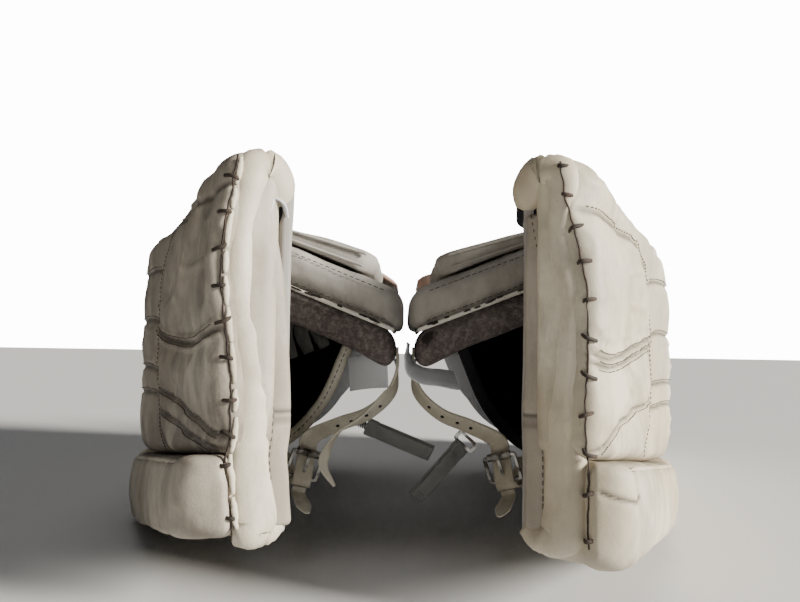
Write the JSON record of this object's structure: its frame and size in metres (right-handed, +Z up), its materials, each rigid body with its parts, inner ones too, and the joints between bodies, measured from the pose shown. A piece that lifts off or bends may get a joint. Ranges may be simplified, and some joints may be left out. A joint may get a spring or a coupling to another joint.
{
  "type": "pair of ice-hockey goalkeeper leg pads",
  "caption": "Pair of padded goalkeeper leg pads with laced ends, knee wings, calf wraps and buckled straps, stored edge down and back to back.",
  "frame": {"origin": "middle of the pair, on the surface that the pads' outer edges rest on", "axes": "+X across the pair, +Y from the thigh ends to the toes, +Z up, across each pad's width"},
  "size_m": [0.7248, 0.8678, 0.318],
  "materials": {
    "white_leather": "worn, creased, satin",
    "end_leather": "worn, satin",
    "grey_leather": "worn, matt",
    "strap_leather": "worn, satin",
    "tan_leather": "worn, matt",
    "suede": "matt nap",
    "pad_back": "matt",
    "black_lining": "matt",
    "nylon": "smooth woven",
    "webbing": "woven",
    "lace": "matt",
    "buckle_metal": "tarnished nickel"
  },
  "bodies": {
    "left_rise": {"left_rise_face": "white_leather", "left_rise_outer_roll": "white_leather", "left_rise_back": "pad_back", "left_rise_end_roll": "white_leather", "left_rise_end_panel": "end_leather", "left_rise_lacing": "lace"},
    "left_boot": {"left_boot_face": "white_leather", "left_boot_back": "pad_back"},
    "left_knee_wing": {"left_knee_wing": "grey_leather", "left_knee_wing_suede": "suede"},
    "left_wing_flap": {"left_wing_flap": "grey_leather"},
    "left_medial_wrap": {"left_medial_wrap": "tan_leather"},
    "left_buckle": {"left_buckle_frame": "buckle_metal"},
    "left_roller": {"left_buckle_roller": "buckle_metal"},
    "left_prong": {"left_buckle_prong": "buckle_metal"},
    "left_hook_strap": {"left_hook_strap": "webbing", "left_hook_spring": "buckle_metal"},
    "left_pad": {"left_knee_roll_1": "white_leather", "left_knee_roll_2": "white_leather", "left_knee_roll_3": "white_leather", "left_shin_face": "white_leather", "left_shin_back": "pad_back", "left_shin_outer_roll": "white_leather", "left_channel_liner": "black_lining", "left_lateral_wrap": "nylon", "left_nylon_loop": "nylon", "left_chape": "strap_leather", "left_knee_strap": "strap_leather", "left_strap_tail": "strap_leather", "left_wrap_binding": "strap_leather", "left_thin_strap": "strap_leather"},
    "right_rise": {"right_rise_face": "white_leather", "right_rise_outer_roll": "white_leather", "right_rise_back": "pad_back", "right_rise_end_roll": "white_leather", "right_rise_end_panel": "end_leather", "right_rise_lacing": "lace"},
    "right_boot": {"right_boot_face": "white_leather", "right_boot_back": "pad_back"},
    "right_knee_wing": {"right_knee_wing": "grey_leather", "right_knee_wing_suede": "suede"},
    "right_wing_flap": {"right_wing_flap": "grey_leather"},
    "right_medial_wrap": {"right_medial_wrap": "tan_leather"},
    "right_buckle": {"right_buckle_frame": "buckle_metal"},
    "right_roller": {"right_buckle_roller": "buckle_metal"},
    "right_prong": {"right_buckle_prong": "buckle_metal"},
    "right_hook_strap": {"right_hook_strap": "webbing", "right_hook_loop": "buckle_metal"},
    "right_pad": {"right_knee_roll_1": "white_leather", "right_knee_roll_2": "white_leather", "right_knee_roll_3": "white_leather", "right_shin_face": "white_leather", "right_shin_back": "pad_back", "right_shin_outer_roll": "white_leather", "right_channel_liner": "black_lining", "right_lateral_wrap": "nylon", "right_nylon_loop": "nylon", "right_chape": "strap_leather", "right_knee_strap": "strap_leather", "right_strap_tail": "strap_leather"}
  },
  "joints": [
    {"name": "pads_apart", "type": "slide", "parent": "left_pad", "child": "right_pad", "axis": [1, 0, 0], "range_m": [0, 0.25]},
    {"name": "left_rise_flex", "type": "hinge", "parent": "left_pad", "child": "left_rise", "pos_m": [-0.29939, -0.15224, 0], "axis": [0, 0, -1], "range_deg": [0, 8]},
    {"name": "left_boot_flex", "type": "hinge", "parent": "left_pad", "child": "left_boot", "pos_m": [-0.21539, 0.25293, 0], "axis": [0, 0, -1], "range_deg": [0, 10]},
    {"name": "left_wing_fold", "type": "hinge", "parent": "left_pad", "child": "left_knee_wing", "pos_m": [-0.21, -0.18601, 0.287], "axis": [0, -1, 0], "range_deg": [0, 8]},
    {"name": "left_flap_lift", "type": "hinge", "parent": "left_knee_wing", "child": "left_wing_flap", "pos_m": [-0.125, -0.18601, 0.2868], "axis": [0, -1, 0], "range_deg": [0, 50]},
    {"name": "left_medial_wrap_fold", "type": "hinge", "parent": "left_pad", "child": "left_medial_wrap", "pos_m": [-0.20839, 0.04399, 0.304], "axis": [0, -1, 0], "range_deg": [0, 60]},
    {"name": "left_buckle_pivot", "type": "hinge", "parent": "left_pad", "child": "left_buckle", "pos_m": [-0.10069, -0.22101, 0.06327], "axis": [-0.8944, -0.3478, 0.2813], "range_deg": [-4, 2]},
    {"name": "left_prong_lift", "type": "hinge", "parent": "left_buckle", "child": "left_prong", "pos_m": [-0.10069, -0.22101, 0.06327], "axis": [0.8944, 0.3478, -0.2813], "range_deg": [0, 6]},
    {"name": "left_roller_spin", "type": "hinge", "parent": "left_buckle", "child": "left_roller", "pos_m": [-0.09331, -0.22101, 0.08673], "axis": [-0.8944, -0.3478, 0.2813], "continuous": true},
    {"name": "left_hook_strap_swing", "type": "hinge", "parent": "left_pad", "child": "left_hook_strap", "pos_m": [-0.036, -0.19651, 0.11], "axis": [0, -1, 0], "range_deg": [-20, 10]},
    {"name": "right_rise_flex", "type": "hinge", "parent": "right_pad", "child": "right_rise", "pos_m": [0.29939, -0.15224, 0], "axis": [0, 0, 1], "range_deg": [0, 8]},
    {"name": "right_boot_flex", "type": "hinge", "parent": "right_pad", "child": "right_boot", "pos_m": [0.21539, 0.25293, 0], "axis": [0, 0, 1], "range_deg": [0, 10]},
    {"name": "right_wing_fold", "type": "hinge", "parent": "right_pad", "child": "right_knee_wing", "pos_m": [0.21, -0.18601, 0.287], "axis": [0, 1, 0], "range_deg": [0, 8]},
    {"name": "right_flap_lift", "type": "hinge", "parent": "right_knee_wing", "child": "right_wing_flap", "pos_m": [0.125, -0.18601, 0.2868], "axis": [0, 1, 0], "range_deg": [0, 50]},
    {"name": "right_medial_wrap_fold", "type": "hinge", "parent": "right_pad", "child": "right_medial_wrap", "pos_m": [0.20839, 0.04399, 0.304], "axis": [0, 1, 0], "range_deg": [0, 60]},
    {"name": "right_buckle_pivot", "type": "hinge", "parent": "right_pad", "child": "right_buckle", "pos_m": [0.10069, -0.22101, 0.06327], "axis": [-0.8944, 0.3478, -0.2813], "range_deg": [-4, 2]},
    {"name": "right_prong_lift", "type": "hinge", "parent": "right_buckle", "child": "right_prong", "pos_m": [0.10069, -0.22101, 0.06327], "axis": [0.8944, -0.3478, 0.2813], "range_deg": [0, 6]},
    {"name": "right_roller_spin", "type": "hinge", "parent": "right_buckle", "child": "right_roller", "pos_m": [0.09331, -0.22101, 0.08673], "axis": [-0.8944, 0.3478, -0.2813], "continuous": true},
    {"name": "right_hook_strap_swing", "type": "hinge", "parent": "right_pad", "child": "right_hook_strap", "pos_m": [0.058, -0.20201, 0.093], "axis": [0, 1, 0], "range_deg": [-20, 10]}
  ]
}
